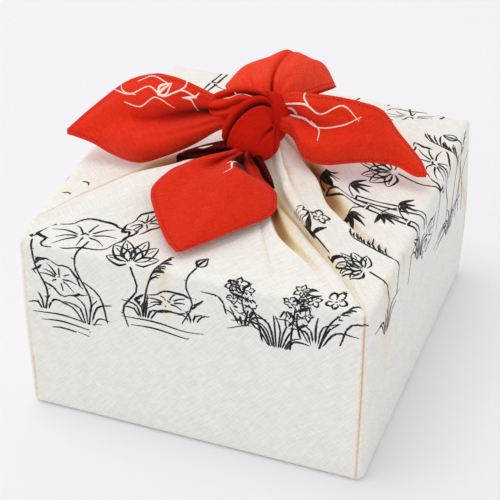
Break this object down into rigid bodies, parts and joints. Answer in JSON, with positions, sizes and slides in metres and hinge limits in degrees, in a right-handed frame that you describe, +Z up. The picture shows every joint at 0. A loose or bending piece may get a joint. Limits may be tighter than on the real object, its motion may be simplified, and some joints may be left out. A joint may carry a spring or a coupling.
{
  "type": "furoshiki cloth wrap on a box",
  "caption": "Square cotton cloth wrapped round a plain box and tied on top, its dyed corners spread from the knot like leaves.",
  "frame": {"origin": "middle of the flat base that the wrapped box stands on", "axes": "+Z up through the knot, X along the wide front side, +Y away from the viewer"},
  "size_m": [0.2112, 0.218, 0.178],
  "materials": {
    "cloth": "plain slub-weave cotton, off-white with printed line drawings",
    "cloth_dyed": "the same cotton where its corners are dyed vermilion",
    "card": "plain paper board"
  },
  "bodies": {
    "root": {"cloth": "cloth", "box": "card"}
  },
  "joints": []
}
